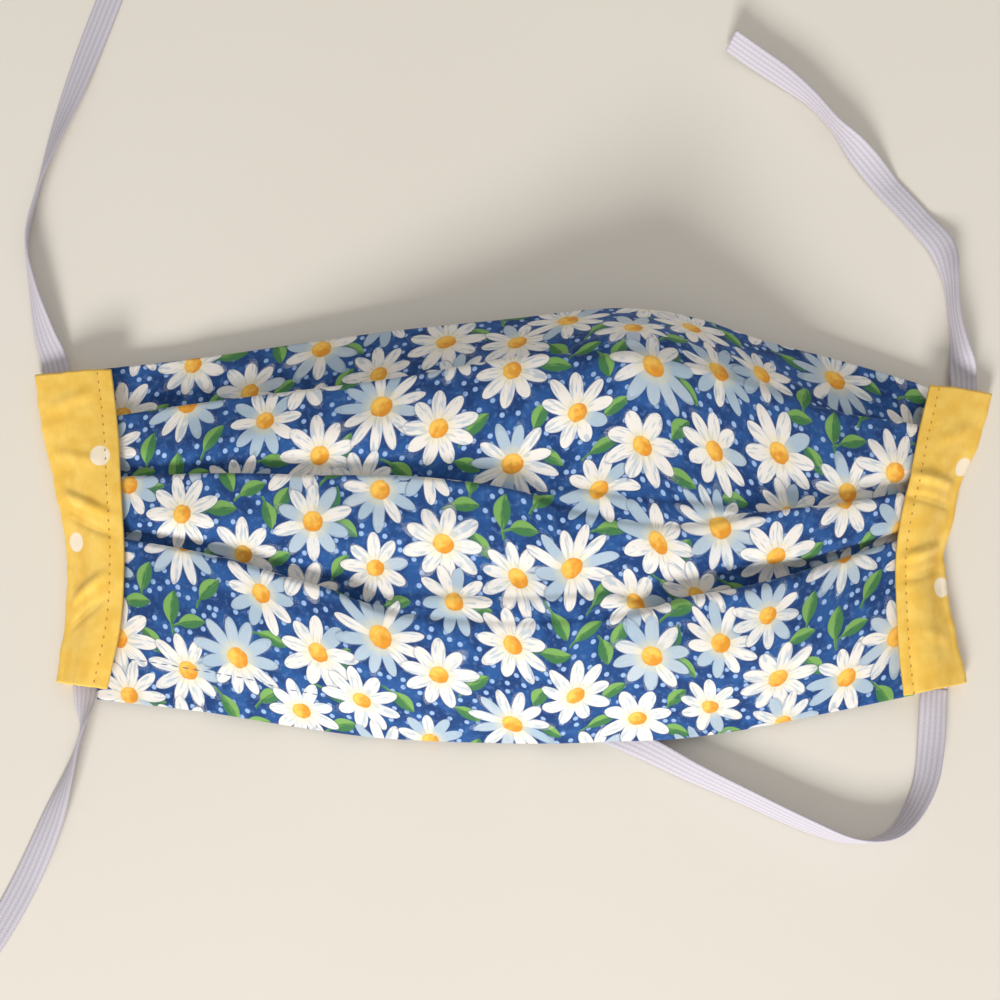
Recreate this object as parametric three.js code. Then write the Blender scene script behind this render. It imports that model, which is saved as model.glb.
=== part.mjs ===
// A pleated cloth face mask, lying face up and partly opened, as it rests on a table.
// One pleated cotton panel, a folded cotton casing sewn over each of its sides, and one flat
// elastic threaded through each casing with both its ends loose.
// Millimetres. +X runs across the mask, +Y up the face, +Z away from the surface it lies on.
import * as THREE from 'three';

// ---------------------------------------------------------------- driving dimensions
const CLOTH = 1.0;              // wall of the panel and of the casings, two cotton layers each
const PLEAT_PITCH = 1.45;       // from one layer of a pleat to the next
const PLEAT_DEPTH = 7;          // how far a pleat runs back under its own fold
const PLEAT_ROOM = 6.8;         // strip left in front of the next fold, so that pleats never meet
const OPEN_SPREAD = 4;          // half the stretch that a pleat takes up once it has opened
const OPEN_STEP = 0.6;          // height of the soft step it leaves there, of its folded height
const PANEL_STEPS = 29;         // sections across the panel
const PANEL_ENDS = { left: -96, right: 94 };  // section places at the panel's two sewn sides

const SEAM_GRIP = 3.5;          // how far the panel's side goes into its casing
const SEAM_GAP = 0.4;           // air between a casing and what it holds
const SEAM_EASE = 0.3;          // more of it at the casing's mouth, where the panel leans
const CASING_STEPS = 13;        // sections along a casing
const CHANNEL_HEIGHT = 2.7;     // inside height of the channel that the elastic runs in
const FLAT_UNDERSIDE = 10.5;    // width of a casing that lies flat on the surface

const TURNED_EDGE = 2.2;        // width of a casing's edge that is turned under along its seam

const ELASTIC = { width: 6.35, thickness: 0.9, step: 7.5, tightStep: 3.5 };  // quarter-inch braid
const TIGHT_TURN = 0.12;        // radians over a fiftieth of the route, past which steps shorten
const ROUTE_SAMPLES = 400;      // places tried along a route when its steps are chosen
const FLOOR_GAP = 0.05;         // between a loose elastic and the surface

const COTTON_PRINT = new THREE.MeshStandardMaterial({ color: 0x3b5fa0, roughness: 0.9 });
const COTTON_YELLOW = new THREE.MeshStandardMaterial({ color: 0xf2cd6b, roughness: 0.9 });
const BRAID = new THREE.MeshStandardMaterial({ color: 0xcfcbd6, roughness: 0.8 });

// ---------------------------------------------------------------- tables
const table = (columns, ...rows) =>
  rows.map((row) => Object.fromEntries(columns.map((name, i) => [name, row[i]])));

// One row for each section of the panel, from its left side to its right. y and z are the
// places of the top edge, of the three fold edges (their upper layer) and of the hem. shut1 to
// shut3 say how far each pleat is folded there, 1 folded and 0 opened into a soft step, and
// gape3 how far apart the layers of pleat 3 stand.
const PANEL = table(
  ['x', 'topY', 'topZ', 'fold1Y', 'fold1Z', 'fold2Y', 'fold2Z', 'fold3Y', 'fold3Z',
    'hemY', 'hemZ', 'shut1', 'shut2', 'shut3', 'gape3'],
  [-96, 38, 3, 24.5, 6.5, 10, 7.5, -4, 7.5, -41, 3, 1, 1, 1, 1],
  [-70, 41, 4, 27.5, 10, 10, 13.5, -9, 13.5, -44, 2.5, 1, 1, 1, 1.2],
  [-45, 44.5, 5.5, 29.5, 15, 9, 18.5, -16, 17, -48, 2, 1, 1, 1, 1.3],
  [-28, 46.5, 7, 31, 19, 8.5, 22, -19, 19.5, -50, 2, 1, 1, 0.15, 1.2],
  [-2, 49, 8.5, 35, 24, 6.5, 25, -21, 21.5, -51, 2, 0.85, 0.5, 0, 1],
  [12, 50.5, 9.5, 37.5, 28, 3.5, 27, -20.5, 22.5, -51, 3, 0.1, 0, 0, 1],
  [25, 51, 10, 38.5, 30, 1, 28, -19.5, 23, -50.5, 4, 0, 0, 0.1, 1.2],
  [38, 49, 9, 36, 25, 0.5, 24.5, -18.5, 22, -50, 4.5, 0, 0, 0.9, 1.7],
  [54, 44, 6.5, 32, 18.5, 2, 20.5, -16, 20.5, -48, 2, 0, 0.3, 1, 2.4],
  [72, 39.5, 4.5, 26, 12.5, 2.5, 16, -11, 15, -44.5, 2.5, 0.3, 1, 1, 1.7],
  [94, 33, 3, 22, 6.5, 7, 7.5, -4, 7.5, -40, 3, 1, 1, 1, 1],
);

// One row for each section of a casing, from its upper end to its lower: its closed outer
// edge, and its inner edge that is sewn down over the panel.
const CASING_COLUMNS = ['outerX', 'outerY', 'innerX', 'innerY'];
const CASINGS = {
  left: table(CASING_COLUMNS,
    [-116, 36.5, -96, 37],
    [-113, 20, -93.5, 21],
    [-109, 5.5, -92, 6],
    [-106.5, -7, -91, -8],
    [-106.5, -22, -91.5, -23],
    [-108, -37, -94.5, -38.5]),
  right: table(CASING_COLUMNS,
    [116, 32, 99, 33],
    [112, 20.5, 95.5, 21],
    [107.5, 11, 93, 11],
    [105, 1.5, 90.5, 1.5],
    [102.5, -8, 89, -8.5],
    [103.5, -19, 89, -20],
    [105.5, -29.5, 89.5, -30.5],
    [107, -37, 90.5, -40]),
};

// The route of each elastic from its upper loose end, down through its casing and out to its
// lower loose end. lift is its clearance under it, and roll turns it from flat (0) to
// standing on its edge (90) and on to flat the other way up (180).
const ROUTE_COLUMNS = ['x', 'y', 'lift', 'roll'];
const ROUTES = {
  left: table(ROUTE_COLUMNS,
    [-99, 141, 0, 0], [-102, 132, 0, 0], [-106, 120, 0, 5], [-110, 107, 0, 22],
    [-114, 94, 0, 50], [-117, 82, 0, 72], [-119, 70, 0, 76], [-117, 58, 0, 60],
    [-114, 47, 0.5, 28], [-111, 39, 1.4, 2], [-109, 28, 1.4, 0], [-106, 15, 1.4, 0],
    [-103, 3, 1.4, 0], [-101, -8, 1.4, 0], [-101, -20, 1.4, 0], [-101.5, -32, 1.4, 0],
    [-101, -41, 1.1, 26], [-101.5, -49, 0.1, 76], [-104, -58, 0, 58], [-108, -69, 0, 22],
    [-113, -81, 0, 2], [-118, -91, 0, 0], [-123, -99, 0, 0], [-129, -106, 0, 0]),
  right: table(ROUTE_COLUMNS,
    [54, 121, 1.2, 56], [60, 117, 0.3, 55], [67, 112, 0, 62], [74, 106, 0, 80],
    [80, 99, 0, 80], [86, 92, 0, 38], [93, 84, 0, 0], [100, 76, 0, 0],
    [105, 69, 0, 24], [106.5, 61, 0, 68], [107, 52, 0, 80], [108, 43, 0.5, 60],
    [109, 35, 1.5, 0], [108, 27, 1.4, 0], [104, 16, 1.4, 0], [100.5, 7, 1.4, 0],
    [98, -2, 1.4, 0], [97, -12, 1.4, 0], [98.5, -23, 1.4, 0], [99.5, -32, 1.4, 0],
    [99, -41, 1.3, 0], [98, -52, 0.1, 24], [96, -61, 0, 46], [91.5, -69, 0, 66],
    [86, -73, 0, 86], [78, -73.5, 0, 106], [68, -70, 0, 120], [55, -64, 0, 126],
    [42, -58, 0, 138], [28, -51, 0, 160], [10, -43.5, 0, 176], [-10, -35, 0, 180],
    [-31, -26, 0, 180]),
};

// ---------------------------------------------------------------- curves
const mix = THREE.MathUtils.lerp;

// Smooth value at `at` through knots [place, value] whose places run in one direction.
function through(knots, at) {
  const slope = (i) => {
    const [a, b] = [knots[Math.max(i - 1, 0)], knots[Math.min(i + 1, knots.length - 1)]];
    return (b[1] - a[1]) / (b[0] - a[0]);
  };
  const way = Math.sign(knots[1][0] - knots[0][0]);
  let i = 0;
  while (i < knots.length - 2 && (at - knots[i + 1][0]) * way > 0) i += 1;
  const span = knots[i + 1][0] - knots[i][0];
  const t = THREE.MathUtils.clamp((at - knots[i][0]) / span, 0, 1);
  const [t2, t3] = [t * t, t * t * t];
  return knots[i][1] * (2 * t3 - 3 * t2 + 1) + slope(i) * span * (t3 - 2 * t2 + t)
    + knots[i + 1][1] * (3 * t2 - 2 * t3) + slope(i + 1) * span * (t3 - t2);
}

const column = (rows, key, name, at) => through(rows.map((row) => [row[key], row[name]]), at);
const evenly = (rows, name, t) =>
  through(rows.map((row, i) => [i / (rows.length - 1), row[name]]), t);

// ---------------------------------------------------------------- the panel
// Halfway between open and folded a pleat's layers stand further apart and its middle one
// leans, so that they never touch.
const halfway = (shut) => Math.sin(Math.PI * shut);
const layerHeight = (shut) => PLEAT_PITCH * (mix(OPEN_STEP, 1, shut) + 0.45 * halfway(shut));

// The panel's lowest layer at section place x, as a height over y, and its pleats there.
function panelProfile(x) {
  const at = (name) => column(PANEL, 'x', name, x);
  const shut = [1, 2, 3].map((n) => THREE.MathUtils.clamp(at(`shut${n}`), 0, 1));
  const gape = [1, 1, at('gape3')];
  const ys = [1, 2, 3].map((n) => at(`fold${n}Y`));
  const [topY, topZ, hemY, hemZ] = ['topY', 'topZ', 'hemY', 'hemZ'].map(at);
  const pleats = ys.map((y, i) => ({
    y,
    shut: shut[i],
    pitch: layerHeight(shut[i]) * gape[i],
    depth: Math.min(PLEAT_DEPTH, y - (ys[i + 1] ?? -Infinity) - PLEAT_ROOM),
  }));
  const folds = ys.map((y, i) => [y, at(`fold${i + 1}Z`) - 2 * PLEAT_PITCH * gape[i]]);
  const last = folds[folds.length - 1];
  const belly = [mix(last[0], hemY, 0.6), mix(last[1], hemZ, 0.45)];
  const knots = [[topY, topZ], ...folds, belly, [hemY, hemZ]];
  return { topY, hemY, pleats, height: (y) => through(knots, y) };
}

// The path of the cloth over that layer, from the top edge to the hem, as stops with a place
// y, a height over the layer and a heading: 180 runs towards the hem, 0 back up. `steps` is
// the number of steps that lead to the stop, and `arm` the reach of its curve's handles.
function clothStops({ topY, hemY, pleats }) {
  const stops = [{ y: topY, h: 0, heading: 180 }];
  pleats.forEach(({ y, shut, pitch, depth }, i) => {
    const turn = mix(OPEN_SPREAD / 3, pitch * 2 / 3, shut);
    const back = 180 * (1 - shut);
    const lean = 0.2 * pitch * halfway(shut);
    stops.push(
      { y: y + mix(OPEN_SPREAD + 2, 1.8, shut), h: 0, heading: 180, steps: 4 },
      { y: y + mix(OPEN_SPREAD, -depth, shut), h: 0, heading: 180, steps: 2 },
      {
        y: y + mix(OPEN_SPREAD / 3, -depth, shut),
        h: pitch - lean,
        heading: back,
        steps: 3,
        arm: turn,
      },
      { y: y + mix(-OPEN_SPREAD / 3, 0, shut), h: pitch + lean, heading: back, steps: 2 },
      { y: y + mix(-OPEN_SPREAD, 0, shut), h: 2 * pitch, heading: 180, steps: 3, arm: turn },
      { y: y - mix(OPEN_SPREAD + 3, depth + 1.2, shut), h: 1.9 * pitch, heading: 180, steps: 2 },
    );
    if (i === pleats.length - 1) stops.push({ y: hemY, h: 0, heading: 180, steps: 6 });
  });
  return stops;
}

// The middle of the cloth along one section, as a list of [y, z].
function panelSection(x) {
  const profile = panelProfile(x);
  const stops = clothStops(profile);
  const flat = [new THREE.Vector2(stops[0].y, stops[0].h)];
  stops.slice(1).forEach((stop, i) => {
    const ends = [stops[i], stop].map(({ y, h, heading }) => ({
      point: new THREE.Vector2(y, h),
      way: new THREE.Vector2(1, 0).rotateAround(new THREE.Vector2(),
        THREE.MathUtils.degToRad(heading)),
    }));
    const arm = stop.arm ?? ends[0].point.distanceTo(ends[1].point) / 3;
    const leg = new THREE.CubicBezierCurve(ends[0].point,
      ends[0].point.clone().addScaledVector(ends[0].way, arm),
      ends[1].point.clone().addScaledVector(ends[1].way, -arm), ends[1].point);
    flat.push(...leg.getPoints(stop.steps).slice(1));
  });
  const slope = (y) => (profile.height(y + 0.5) - profile.height(y - 0.5));
  return flat.map(({ x: y, y: h }) => {
    const lean = Math.atan(slope(y));
    return [y - Math.sin(lean) * h, profile.height(y) + Math.cos(lean) * h];
  });
}

// The panel's sewn side at height y up the mask, inside its casing.
function sewnSide(side, y) {
  const inner = column(CASINGS[side], 'innerY', 'innerX', y);
  return inner + Math.sign(inner) * SEAM_GRIP;
}

function panelGrid() {
  const grid = [];
  for (let i = 0; i <= PANEL_STEPS; i += 1) {
    const t = i / PANEL_STEPS;
    const section = panelSection(mix(PANEL_ENDS.left, PANEL_ENDS.right, t));
    grid.push(section.map(([y, z]) =>
      new THREE.Vector3(mix(sewnSide('left', y), sewnSide('right', y), t), y, z)));
  }
  return grid;
}

// ---------------------------------------------------------------- the casings
// A casing is one strip folded lengthwise: an upper flap over the panel's side, a closed bend
// that is the elastic's channel, and a lower flap that lies on the surface and then rises
// under the panel.
function casingGrid(side) {
  const rows = CASINGS[side];
  const end = PANEL_ENDS[side];
  const inside = panelProfile(end).height;
  const atMouth = panelProfile(end - Math.sign(end) * SEAM_GRIP).height;
  const half = CLOTH / 2;
  const bend = (CHANNEL_HEIGHT + CLOTH) / 2;
  const grid = [];
  for (let i = 0; i <= CASING_STEPS; i += 1) {
    const [outerX, outerY, innerX, innerY] =
      CASING_COLUMNS.map((name) => evenly(rows, name, i / CASING_STEPS));
    const width = Math.abs(innerX - outerX) - half;
    const upper = atMouth(innerY) + 2 * PLEAT_PITCH + CLOTH + SEAM_GAP + SEAM_EASE;
    const lower = Math.max(inside(innerY) - CLOTH - SEAM_GAP - SEAM_EASE, half);
    const slope = width - 2 * TURNED_EDGE;
    const section = [
      [width, upper], [width - TURNED_EDGE, upper], [slope, upper - 0.1],
      [mix(bend, slope, 0.62), mix(2 * bend, upper - half, 0.72) + half],
      [mix(bend, slope, 0.28), mix(2 * bend, upper - half, 0.3) + half],
    ];
    for (let turn = 0; turn <= 4; turn += 1) {
      const angle = Math.PI * turn / 4;
      section.push([bend - Math.sin(angle) * bend, half + bend + Math.cos(angle) * bend]);
    }
    section.push([FLAT_UNDERSIDE / 2, half], [FLAT_UNDERSIDE, half],
      [mix(FLAT_UNDERSIDE, width, 0.5), mix(half, lower, 0.5)], [width, lower]);
    grid.push(section.map(([reach, z]) => {
      const t = (reach + half) / (width + half);
      return new THREE.Vector3(mix(outerX, innerX, t), mix(outerY, innerY, t), z);
    }));
  }
  return grid;
}

// ---------------------------------------------------------------- solids
// A closed solid of even thickness from a grid of points on its middle, grid[i][j].
function clothSolid(grid, thickness) {
  const [rows, cols] = [grid.length, grid[0].length];
  const at = (i, j) => grid[THREE.MathUtils.clamp(i, 0, rows - 1)][
    THREE.MathUtils.clamp(j, 0, cols - 1)];
  const positions = [];
  [1, -1].forEach((side) => grid.forEach((row, i) => row.forEach((point, j) => {
    const along = at(i + 1, j).clone().sub(at(i - 1, j));
    const across = at(i, j + 1).clone().sub(at(i, j - 1));
    const normal = along.cross(across).normalize();
    positions.push(...point.clone().addScaledVector(normal, side * thickness / 2).toArray());
  })));
  const id = (face, i, j) => (face * rows + i) * cols + j;
  const quads = [];
  for (let i = 0; i < rows - 1; i += 1) {
    for (let j = 0; j < cols - 1; j += 1) {
      quads.push([id(0, i, j), id(0, i + 1, j), id(0, i + 1, j + 1), id(0, i, j + 1)],
        [id(1, i, j), id(1, i, j + 1), id(1, i + 1, j + 1), id(1, i + 1, j)]);
    }
  }
  for (let i = 0; i < rows - 1; i += 1) {
    quads.push([id(0, i, 0), id(1, i, 0), id(1, i + 1, 0), id(0, i + 1, 0)],
      [id(0, i, cols - 1), id(0, i + 1, cols - 1), id(1, i + 1, cols - 1), id(1, i, cols - 1)]);
  }
  for (let j = 0; j < cols - 1; j += 1) {
    quads.push([id(0, 0, j), id(0, 0, j + 1), id(1, 0, j + 1), id(1, 0, j)],
      [id(0, rows - 1, j), id(1, rows - 1, j), id(1, rows - 1, j + 1), id(0, rows - 1, j + 1)]);
  }
  return facesOut(positions, quads.flatMap(([a, b, c, d]) => [a, b, c, a, c, d]));
}

// The geometry with its faces pointing out, whichever way its grid ran.
function facesOut(positions, triangles) {
  const corner = (index) => new THREE.Vector3().fromArray(positions, 3 * index);
  let volume = 0;
  for (let i = 0; i < triangles.length; i += 3) {
    const [a, b, c] = triangles.slice(i, i + 3).map(corner);
    volume += a.dot(b.cross(c));
  }
  const geometry = new THREE.BufferGeometry();
  geometry.setAttribute('position', new THREE.Float32BufferAttribute(positions, 3));
  geometry.setIndex(volume > 0 ? triangles : triangles.slice().reverse());
  return geometry;
}

// A flat braid swept along its route, its section a rectangle with cut corners.
function elasticSolid(route) {
  const { width, thickness, step, tightStep } = ELASTIC;
  const stand = (roll) => {
    const turn = THREE.MathUtils.degToRad(roll);
    return Math.abs(Math.sin(turn)) * width / 2 + Math.abs(Math.cos(turn)) * thickness / 2;
  };
  const plan = new THREE.CatmullRomCurve3(route.map(({ x, y }) => new THREE.Vector3(x, y, 0)),
    false, 'centripetal');
  const rollAt = (u) => THREE.MathUtils.clamp(evenly(route, 'roll', u), 0, 180);
  const centreAt = (u) => plan.getPoint(u).setZ(
    FLOOR_GAP + Math.max(evenly(route, 'lift', u), 0) + stand(rollAt(u)));
  const places = [0];
  const turnAt = (u) => plan.getTangent(Math.max(u - 0.01, 0))
    .angleTo(plan.getTangent(Math.min(u + 0.01, 1)));
  let walked = 0;
  for (let i = 1; i < ROUTE_SAMPLES; i += 1) {
    walked += plan.getPoint(i / ROUTE_SAMPLES)
      .distanceTo(plan.getPoint((i - 1) / ROUTE_SAMPLES));
    const wanted = turnAt(i / ROUTE_SAMPLES) > TIGHT_TURN ? tightStep : step;
    if (walked >= wanted && i < ROUTE_SAMPLES - 2) {
      places.push(i / ROUTE_SAMPLES);
      walked = 0;
    }
  }
  places.push(1);
  const cut = thickness * 0.3;
  const [w, h] = [width / 2, thickness / 2];
  const outline = [[w, h - cut], [w - cut, h], [cut - w, h], [-w, h - cut],
    [-w, cut - h], [cut - w, -h], [w - cut, -h], [w, cut - h]];
  const positions = [];
  places.forEach((u) => {
    const centre = centreAt(u);
    const along = plan.getTangent(u);
    const level = new THREE.Vector3(0, 0, 1).cross(along).normalize();
    const across = level.applyAxisAngle(along, THREE.MathUtils.degToRad(rollAt(u)));
    const up = along.clone().cross(across);
    outline.forEach(([a, b]) => positions.push(
      ...centre.clone().addScaledVector(across, a).addScaledVector(up, b).toArray()));
  });
  const sides = outline.length;
  const triangles = [];
  for (let i = 0; i < places.length - 1; i += 1) {
    for (let k = 0; k < sides; k += 1) {
      const [a, b] = [i * sides + k, i * sides + (k + 1) % sides];
      triangles.push(a, b, b + sides, a, b + sides, a + sides);
    }
  }
  const end = (places.length - 1) * sides;
  for (let k = 1; k < sides - 1; k += 1) {
    triangles.push(0, k + 1, k, end, end + k, end + k + 1);
  }
  return facesOut(positions, triangles);
}

// ---------------------------------------------------------------- the mask
const mask = new THREE.Group();

function add(name, geometry, material) {
  const mesh = new THREE.Mesh(geometry, material);
  mesh.name = name;
  mask.add(mesh);
}

add('mask_body', clothSolid(panelGrid(), CLOTH), COTTON_PRINT);
['left', 'right'].forEach((side) => {
  add(`casing_${side}`, clothSolid(casingGrid(side), CLOTH), COTTON_YELLOW);
  add(`elastic_${side}`, elasticSolid(ROUTES[side]), BRAID);
});

export default mask;
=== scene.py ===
"""The looks of a pleated cloth face mask: one printed cotton panel, two yellow casings and two
flat elastics. Lengths in the tables are millimetres, as in the part's source; MM turns them
into metres."""
import math

import bpy
import numpy as np
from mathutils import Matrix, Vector, noise


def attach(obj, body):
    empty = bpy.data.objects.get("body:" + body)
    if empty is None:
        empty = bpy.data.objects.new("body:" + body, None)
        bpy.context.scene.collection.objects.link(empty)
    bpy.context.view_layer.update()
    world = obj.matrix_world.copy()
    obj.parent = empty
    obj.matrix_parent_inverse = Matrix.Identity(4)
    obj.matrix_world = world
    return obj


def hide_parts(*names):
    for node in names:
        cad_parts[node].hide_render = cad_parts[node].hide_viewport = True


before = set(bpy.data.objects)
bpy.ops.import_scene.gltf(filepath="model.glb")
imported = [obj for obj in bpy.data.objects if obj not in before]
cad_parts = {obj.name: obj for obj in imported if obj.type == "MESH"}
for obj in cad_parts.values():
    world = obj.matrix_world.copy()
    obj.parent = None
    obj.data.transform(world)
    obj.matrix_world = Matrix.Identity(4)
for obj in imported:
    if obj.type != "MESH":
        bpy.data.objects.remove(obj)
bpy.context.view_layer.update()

MM = 0.001
MM_PER_UV = 10.0                # the UV layer "cloth" is in centimetres

# ------------------------------------------------------------------ the form, as in the CAD
PLEAT_PITCH = 1.45
PLEAT_DEPTH = 7.0
PLEAT_ROOM = 6.8
OPEN_SPREAD = 4.0
OPEN_STEP = 0.6
PANEL_ENDS = {"left": -96.0, "right": 94.0}
SEAM_GRIP = 3.5
CASING_CLOTH = 1.0
SEAM_GAP = 0.4
SEAM_EASE = 0.3
CHANNEL_HEIGHT = 2.7
FLAT_UNDERSIDE = 10.5
TURNED_EDGE = 2.2
ELASTIC_WIDTH = 6.35
ELASTIC_THICKNESS = 0.9
FLOOR_GAP = 0.05

PANEL_CLOTH = 0.8               # wall of the panel as drawn
PANEL_COLUMNS = ("x topY topZ fold1Y fold1Z fold2Y fold2Z fold3Y fold3Z "
                 "hemY hemZ shut1 shut2 shut3 gape3")
PANEL = np.array([
    [-96, 38, 3, 24.5, 6.5, 10, 7.5, -4, 7.5, -41, 3, 1, 1, 1, 1],
    [-70, 41, 4, 27.5, 10, 10, 13.5, -9, 13.5, -44, 2.5, 1, 1, 1, 1.2],
    [-45, 44.5, 5.5, 29.5, 15, 9, 18.5, -16, 17, -48, 2, 1, 1, 1, 1.3],
    [-28, 46.5, 7, 31, 19, 8.5, 22, -19, 19.5, -50, 2, 1, 1, 0.15, 1.2],
    [-2, 49, 8.5, 35, 24, 6.5, 25, -21, 21.5, -51, 2, 0.85, 0.5, 0, 1],
    [12, 50.5, 9.5, 37.5, 28, 3.5, 27, -20.5, 22.5, -51, 3, 0.1, 0, 0, 1],
    [25, 51, 10, 38.5, 30, 1, 28, -19.5, 23, -50.5, 4, 0, 0, 0.1, 1.2],
    [38, 49, 9, 36, 25, 0.5, 24.5, -18.5, 22, -50, 4.5, 0, 0, 0.9, 1.7],
    [54, 44, 6.5, 32, 18.5, 2, 20.5, -16, 20.5, -48, 2, 0, 0.3, 1, 2.4],
    [72, 39.5, 4.5, 26, 12.5, 2.5, 16, -11, 15, -44.5, 2.5, 0.3, 1, 1, 1.7],
    [94, 33, 3, 22, 6.5, 7, 7.5, -4, 7.5, -40, 3, 1, 1, 1, 1],
])
CASING_COLUMNS = "outerX outerY innerX innerY"
CASINGS = {
    "left": np.array([
        [-116, 36.5, -96, 37],
        [-113, 20, -93.5, 21],
        [-109, 5.5, -92, 6],
        [-106.5, -7, -91, -8],
        [-106.5, -22, -91.5, -23],
        [-108, -37, -94.5, -38.5],
    ]),
    "right": np.array([
        [116, 32, 99, 33],
        [112, 20.5, 95.5, 21],
        [107.5, 11, 93, 11],
        [105, 1.5, 90.5, 1.5],
        [102.5, -8, 89, -8.5],
        [103.5, -19, 89, -20],
        [105.5, -29.5, 89.5, -30.5],
        [107, -37, 90.5, -40],
    ]),
}
ROUTE_COLUMNS = "x y lift roll"
ROUTES = {
    "left": np.array([
        [-99, 141, 0, 0], [-102, 132, 0, 0], [-106, 120, 0, 5], [-110, 107, 0, 22],
        [-114, 94, 0, 50], [-117, 82, 0, 72], [-119, 70, 0, 76], [-117, 58, 0, 60],
        [-114, 47, 0.5, 28], [-111, 39, 1.4, 2], [-109, 28, 1.4, 0], [-106, 15, 1.4, 0],
        [-103, 3, 1.4, 0], [-101, -8, 1.4, 0], [-101, -20, 1.4, 0], [-101.5, -32, 1.4, 0],
        [-101, -41, 1.1, 26], [-101.5, -49, 0.1, 76], [-104, -58, 0, 58], [-108, -69, 0, 22],
        [-113, -81, 0, 2], [-118, -91, 0, 0], [-123, -99, 0, 0], [-129, -106, 0, 0]]),
    "right": np.array([
        [54, 121, 1.2, 56], [60, 117, 0.3, 55], [67, 112, 0, 62], [74, 106, 0, 80],
        [80, 99, 0, 80], [86, 92, 0, 38], [93, 84, 0, 0], [100, 76, 0, 0],
        [105, 69, 0, 24], [106.5, 61, 0, 68], [107, 52, 0, 80], [108, 43, 0.5, 60],
        [109, 35, 1.5, 0], [108, 27, 1.4, 0], [104, 16, 1.4, 0], [100.5, 7, 1.4, 0],
        [98, -2, 1.4, 0], [97, -12, 1.4, 0], [98.5, -23, 1.4, 0], [99.5, -32, 1.4, 0],
        [99, -41, 1.3, 0], [98, -52, 0.1, 24], [96, -61, 0, 46], [91.5, -69, 0, 66],
        [86, -73, 0, 86], [78, -73.5, 0, 106], [68, -70, 0, 120], [55, -64, 0, 126],
        [42, -58, 0, 138], [28, -51, 0, 160], [10, -43.5, 0, 176], [-10, -35, 0, 180],
        [-31, -26, 0, 180]]),
}


# ------------------------------------------------------------------ the print
# One small repeat of the cotton's daisies. Each column of repeats hangs COLUMN_DROP lower than
# the one to its left. Tone is the share of a flower's petals that are painted blue-grey.
CHART_SCALE = 1.2              # from the chart's places to the cloth's
FLOWER_SCALE = 0.88
LEAF_SCALE = 1.2
REPEAT = (64 * CHART_SCALE, 56 * CHART_SCALE)
COLUMN_DROP = 21 * CHART_SCALE
REPEAT_START = (-100.0, -2.0)
# Columns: across, down, radius, petals, tone, turn.
FLOWERS = np.array([
    [5, 12, 10.5, 9, 0.1, 10], [3, 28, 9.5, 10, 0.5, 40], [6, 42, 11, 9, 0.05, 0],
    [8, -3, 9.5, 10, 0.3, 25], [19, 3, 10, 9, 0, 60], [19, 21, 11.5, 12, 0.45, 5],
    [20, 46, 10.5, 10, 0.2, 15], [31, 11, 10, 9, 0.1, 50], [35, 27, 10, 10, 0.5, 20],
    [30, 41, 11.5, 11, 0.35, 70], [45, 4, 11, 10, 0.4, 0], [43, 19, 10, 8, 0, 45],
    [46, 35, 10.5, 9, 0.1, 15], [42, 49, 10, 9, 0.15, 65], [57, 13, 9.5, 9, 0.05, 55],
    [58, 27, 12, 13, 0.45, 10], [54, 42, 10, 9, 0, 25], [58, 54, 10.5, 11, 0.55, 40],
])
# Columns: across, down, length, turn.
LEAVES = np.array([
    [12, 12.5, 6.5, 40], [10.5, 20, 6, -30], [11.5, 29, 6.5, 75], [10, 34, 6, 10],
    [13, 41, 6.5, -50], [12.5, 54, 6, 20], [24, 12, 6, 65], [27, 2, 6.5, 5],
    [26, 19.5, 6, -20], [24.5, 29, 6.5, 50], [17, 34, 7, 85], [21, 36, 6, 15],
    [28, 52, 6.5, -60], [33, 54, 6, 25], [38, 11.5, 6, 30], [36.5, 3, 6, -75],
    [36, 18.5, 6, 15], [39, 56, 6.5, 60], [37, 35, 6, -10], [36, 47, 6.5, 40],
    [49, 56, 6, 80], [51.5, 5, 6, -35], [50, 12.5, 6, 55], [50.5, 21, 6.5, 0],
    [51, 34, 6, 70], [49, 43, 6, -25], [50, 50, 6.5, 30], [62, 40, 6.5, -45],
    [61, 19.5, 6, 20],
])
FLOWER_SLOTS = 3
LEAF_SLOTS = 2
SPECK_PITCH = 3.3               # between the pale dots of the ground
SPECK_RADIUS = 0.58
LEAF_REACH = 1.6                # of a leaf with its stem, in half lengths
FAR_AWAY = 9.0                  # local place of a flower or leaf that doesn't reach a face
MOTIF_MARGIN = 1.2              # how far outside its reach a motif still counts as near a face
SEED_STEP = 0.618               # from one motif's painting seed to the next, before spreading
SEED_SPREAD = 40

# Cloth places (along the casing, across it from its seam) of its white dots.
CASING_DOTS = {
    "left": [(21.5, 4.5), (42, 13.5), (62, 24), (30, 30)],
    "right": [(19.5, 15), (50, 13.5), (34, 27), (65, 28)],
}
DOT_RADIUS = 2.4

# Folds pressed into each casing: from one place to another, with width and height.
# Columns: x0, y0, x1, y1, width, height.
WRINKLES = {
    "left": np.array([
        [-110, 9, -97, 3, 1.1, 1.1], [-108, 4, -96, -2, 1.0, -1.0],
        [-107, -20, -97, -13, 1.1, 1.0], [-107, -26, -97, -19, 1.0, -0.9],
        [-113, 18, -100, 15, 1.4, 0.5], [-111, 28, -101, 31, 1.6, 0.4],
    ]),
    "right": np.array([
        [107, 9, 95, 11, 1.1, 1.0], [106, 4, 94, 6, 1.0, -1.0],
        [104, -4, 92, -8, 1.1, 1.1], [103, -9, 92, -13, 1.0, -1.0],
        [112, 24, 101, 20, 1.5, 0.5], [106, -28, 95, -25, 1.6, 0.4],
    ]),
}
EDGE_WAVE = 0.9                 # how far a casing's closed edge wavers
VALLEY_ROOM = -0.45             # how far a wrinkle may sink towards what lies under it
TOPSTITCH = {"left": 3.3, "right": 2.3}     # from the seam edge
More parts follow.
